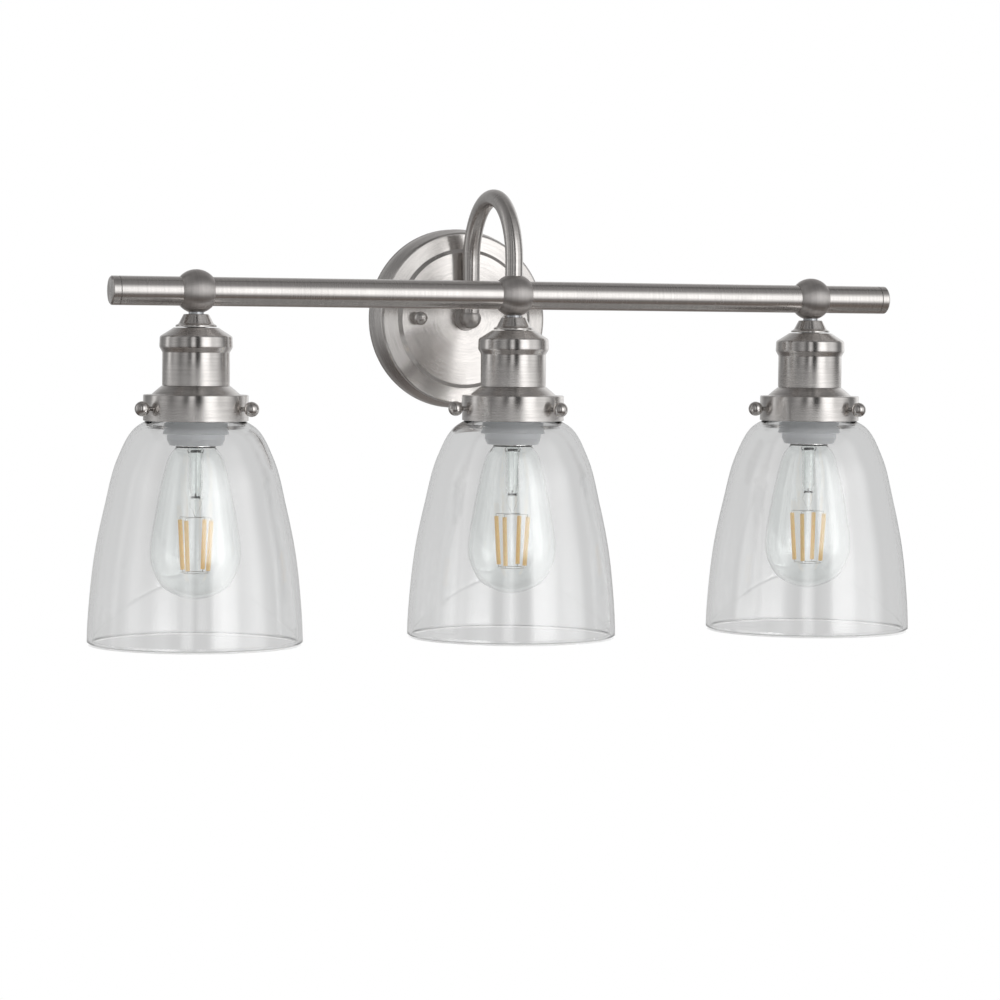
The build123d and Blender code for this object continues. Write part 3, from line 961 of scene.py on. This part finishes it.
def build_filaments(side):
    """Four sticks that lean in downwards, and the fine wires that hold them."""
    node = f"bulb_filaments_{side}"
    axis = LAMP_AXIS[side]
    low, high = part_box(node)
    top, bottom = high.z - 0.0002, low.z + 0.00035
    sticks, wires = [], []
    crown = Vector((axis.x, axis.y, top))
    for number in range(4):
        turn = math.radians(45 + 90 * number)
        spoke = Vector((math.cos(turn), math.sin(turn), 0))
        head = axis + spoke * HEAD_SPREAD
        head.z = top
        foot = axis + spoke * FOOT_SPREAD
        foot.z = bottom
        lean = (foot - head).normalized()
        start, end = head + lean * STICK_PIN, foot - lean * STICK_PIN
        sticks.append(sweep("stick", straight(start, end, 6), STICK_RADIUS, segments=24))
        wires.append(sweep("pin", straight(head, start), PIN_RADIUS, segments=12))
        wires.append(sweep("pin", straight(end, foot), PIN_RADIUS, segments=12))
        wires.append(sweep("spoke", straight(crown, head), WIRE_RADIUS, segments=10))
    ring = []
    for step in range(49):
        angle = 2 * math.pi * step / 48
        spoke = Vector((math.cos(angle), math.sin(angle), 0))
        spot = axis + spoke * FOOT_SPREAD
        spot.z = bottom
        ring.append((spot, Vector((-spoke.y, spoke.x, 0))))
    for start in (3, 27):
        wires.append(sweep("loop", ring[start : start + 19], WIRE_RADIUS, segments=10))
    for lean_side in (-1, 1):
        start = Vector((axis.x + lean_side * 0.0016, axis.y, BAR.z - 0.1335))
        knee = Vector((axis.x + lean_side * 0.0042, axis.y, BAR.z - 0.1385))
        wires.append(sweep("lead", straight(start, knee), LEAD_RADIUS, segments=10))
        wires.append(sweep("lead", straight(knee, crown), LEAD_RADIUS, segments=10))
    stand_for(join_pieces(f"filament_sticks_{side}", sticks), node, PHOSPHOR)
    add_to(join_pieces(f"filament_wires_{side}", wires), node, WIRE)


# ---------------------------------------------------------------- hidden CAD pieces


def finish_cad_nodes():
    """Finishes for the plain CAD pieces that stay: bracket, screw, nuts, contacts and leads."""
    finishes = {
        "mounting_bracket": ZINC,
        "ground_screw": GREEN_ZINC,
        "arm_nipple": ZINC,
        "arm_locknut": ZINC,
        "lamp_nipples": ZINC,
        "lamp_locknuts": ZINC,
        "black_leads": BLACK_PLASTIC,
        "white_leads": WHITE_PLASTIC,
        "ground_wire": GREEN_PLASTIC,
    }
    for side in SIDES:
        finishes[f"socket_contacts_{side}"] = BRASS
    for node, finish in finishes.items():
        piece = frame["nodes"][node]
        piece.data.materials.clear()
        piece.data.materials.append(finish)


# ---------------------------------------------------------------- studio


def build_camera():
    yaw, pitch, roll = (math.radians(angle) for angle in (CAMERA_YAW, CAMERA_PITCH, CAMERA_ROLL))
    ahead = Vector((math.sin(yaw) * math.cos(pitch), math.cos(yaw) * math.cos(pitch), -math.sin(pitch)))
    level = Vector((math.cos(yaw), -math.sin(yaw), 0))
    upright = level.cross(ahead)
    right = level * math.cos(roll) + upright * math.sin(roll)
    up = upright * math.cos(roll) - level * math.sin(roll)
    data = bpy.data.cameras.new("camera")
    data.lens = CAMERA_LENS
    data.sensor_width = 36
    data.clip_end = 50
    camera = bpy.data.objects.new("camera", data)
    turn = Matrix((right, up, -ahead)).transposed().to_4x4()
    camera.matrix_world = Matrix.Translation(BAR + Vector(CAMERA_FROM_BAR) * MM) @ turn
    bpy.context.scene.collection.objects.link(camera)
    bpy.context.scene.camera = camera


# Studio brightness by compass angle, where 0 faces the light bar from the camera's side and positive
# is to its right: a big softbox with a hot edge, a smaller one, and dark gaps beside paler strips
STUDIO_RING = (
    (-180, 0.68),
    (-158, 0.56),
    (-134, 0.24),
    (-110, 0.32),
    (-98, 1.05),
    (-86, 0.34),
    (-70, 0.55),
    (-50, 0.20),
    (-29, 0.48),
    (-17, 0.12),
    (-12, 0.14),
    (-6, 0.85),
    (0, 0.90),
    (6, 0.05),
    (16, 0.05),
    (21, 0.45),
    (27, 1.60),
    (36, 1.95),
    (48, 1.70),
    (57, 0.95),
    (76, 1.00),
    (92, 0.60),
    (104, 0.22),
    (120, 0.22),
    (140, 1.05),
    (156, 0.95),
    (180, 0.68),
)
# Brightness by elevation in degrees, away from the ring: brown floor below, mid grey above
STUDIO_HEIGHTS = (
    (-90, (0.10, 0.065, 0.04)),
    (-60, (0.17, 0.135, 0.11)),
    (-29, (0.23, 0.215, 0.21)),
    (-8, (0.40, 0.39, 0.39)),
    (45, (0.36, 0.355, 0.355)),
    (70, (0.25, 0.245, 0.245)),
    (90, (0.30, 0.295, 0.29)),
)
# How much of the ring shows at each elevation
RING_SHARE = ((-90, 0.0), (-27, 0.0), (-2, 1.0), (20, 1.0), (46, 0.0), (90, 0.0))
# Where the ring is darker than this, the same compass angle is darker at every elevation too
RING_MIDDLE = 0.5
# What the clear glass lets through, by angle from the camera's side: never darker than this pale wall
BACKDROP = ((0, 0.42), (60, 0.50), (110, 0.60), (180, 0.63))
# Softboxes on the camera's side show this much stronger in the smooth glass, and none behind it
GLASS_GAIN = 2.6
GLASS_FRONT = ((0, 1.0), (84, 1.0), (104, 0.0), (180, 0.0))
BRIGHTEST = 2.0


class WorldMaker:
    """Small helpers that wire up the world's nodes."""

    def __init__(self, world):
        world.use_nodes = True
        self.tree = world.node_tree
        self.direction = self.tree.nodes.new("ShaderNodeTexCoord").outputs["Generated"]

    def calculate(self, operation, *values):
        node = self.tree.nodes.new("ShaderNodeMath")
        node.operation = operation
        for socket, value in zip(node.inputs, values):
            if isinstance(value, (int, float)):
                socket.default_value = value
            else:
                self.tree.links.new(value, socket)
        return node.outputs["Value"]

    def along(self, axis):
        node = self.tree.nodes.new("ShaderNodeVectorMath")
        node.operation = "DOT_PRODUCT"
        self.tree.links.new(self.direction, node.inputs[0])
        node.inputs[1].default_value = axis
        return node.outputs["Value"]

    def combine(self, operation, first, second):
        node = self.tree.nodes.new("ShaderNodeVectorMath")
        node.operation = operation
        self.tree.links.new(first, node.inputs[0])
        if isinstance(second, tuple):
            node.inputs[1].default_value = second
        else:
            self.tree.links.new(second, node.inputs[1])
        return node.outputs["Vector"]

    def ramp(self, value, stops, scale=1.0):
        node = self.tree.nodes.new("ShaderNodeValToRGB")
        elements = node.color_ramp.elements
        while len(elements) < len(stops):
            elements.new(0.5)
        for element, (position, level) in zip(elements, stops):
            element.position = position
            tone = level if isinstance(level, tuple) else (level, level, level)
            element.color = (*[channel / scale for channel in tone], 1)
        self.tree.links.new(value, node.inputs["Fac"])
        return node.outputs["Color"]

    def mix(self, share, first, second):
        node = self.tree.nodes.new("ShaderNodeMix")
        node.data_type = "RGBA"
        for name, value in (("Factor", share), ("A", first), ("B", second)):
            socket = next(s for s in node.inputs if s.name == name and s.enabled)
            if isinstance(value, tuple):
                socket.default_value = value
            else:
                self.tree.links.new(value, socket)
        return next(s for s in node.outputs if s.enabled)


def height_stop(degrees):
    """Where an elevation falls on a ramp over the direction's Z."""
    return 0.5 + 0.5 * math.sin(math.radians(degrees))


def build_world():
    world = bpy.data.worlds.new("studio")
    bpy.context.scene.world = world
    maker = WorldMaker(world)
    yaw = math.radians(CAMERA_YAW)
    right = maker.along((math.cos(yaw), -math.sin(yaw), 0))
    towards = maker.along((-math.sin(yaw), -math.cos(yaw), 0))
    compass = maker.calculate("ARCTAN2", right, towards)
    turned = maker.calculate("MULTIPLY_ADD", compass, 1 / (2 * math.pi), 0.5)
    ring_stops = [((angle + 180) / 360, level) for angle, level in STUDIO_RING]
    dimmed = maker.ramp(turned, ring_stops, BRIGHTEST)
    ring = maker.combine("MULTIPLY", dimmed, (BRIGHTEST, BRIGHTEST, BRIGHTEST))
    height = maker.calculate("MULTIPLY_ADD", maker.along((0, 0, 1)), 0.5, 0.5)
    share = maker.ramp(height, [(height_stop(angle), level) for angle, level in RING_SHARE])
    plain = maker.ramp(height, [(height_stop(angle), level) for angle, level in STUDIO_HEIGHTS])
    tones = [(stop, min(1.0, level / RING_MIDDLE)) for stop, level in ring_stops]
    toned = maker.combine("MULTIPLY", plain, maker.ramp(turned, tones))
    studio = maker.mix(share, toned, ring)

    behind = maker.calculate("ARCCOSINE", maker.calculate("MULTIPLY", towards, 0.9999))
    behind_stop = maker.calculate("MULTIPLY", behind, 1 / math.pi)
    wall = maker.ramp(behind_stop, [(angle / 180, level) for angle, level in BACKDROP])
    front = maker.ramp(behind_stop, [(angle / 180, level) for angle, level in GLASS_FRONT])
    strength = maker.calculate("MULTIPLY", front, GLASS_GAIN)
    in_glass = maker.combine("MULTIPLY", studio, strength)
    in_glass = maker.combine("MAXIMUM", in_glass, wall)
    rays = maker.tree.nodes.new("ShaderNodeLightPath")
    through = maker.mix(rays.outputs["Is Singular Ray"], studio, in_glass)
    seen = maker.mix(rays.outputs["Is Camera Ray"], through, (1.0, 1.0, 1.0, 1.0))
    maker.tree.links.new(seen, maker.tree.nodes["Background"].inputs["Color"])


FLOOR_RADIUS = 1.0
FLOOR_HEIGHT = -1.25


def build_floor():
    """A pale round floor, well below the light bar."""
    mesh = bpy.data.meshes.new("floor")
    grid = bmesh.new()
    bmesh.ops.create_circle(grid, cap_ends=True, segments=96, radius=FLOOR_RADIUS)
    grid.to_mesh(mesh)
    grid.free()
    floor = bpy.data.objects.new("floor", mesh)
    floor.location = (0, BAR.y, FLOOR_HEIGHT)
    bpy.context.scene.collection.objects.link(floor)
    made, tree, shader = new_material("pale_floor")
    shader.inputs["Base Color"].default_value = (0.80, 0.79, 0.78, 1)
    shader.inputs["Roughness"].default_value = 0.8
    mesh.materials.append(made)


def main():
    build_camera()
    build_world()
    build_floor()
    build_canopy()
    build_cap_nut("left")
    build_cap_nut("right")
    build_studs()
    build_arm_fittings()
    build_arm()
    build_crossbar()
    build_end_caps()
    for side in SIDES:
        build_bar_ball(side)
        build_neck_cone(side)
        build_socket_cup(side)
        build_fitter(side)
        for number in (1, 2, 3):
            build_thumbscrew(side, number)
        build_shade(side)
        build_socket(side)
        build_bulb_glass(side)
        build_bulb_cap(side)
        build_bulb_stem(side)
        build_filaments(side)
    finish_cad_nodes()
    bpy.context.scene.view_settings.view_transform = "Standard"


main()
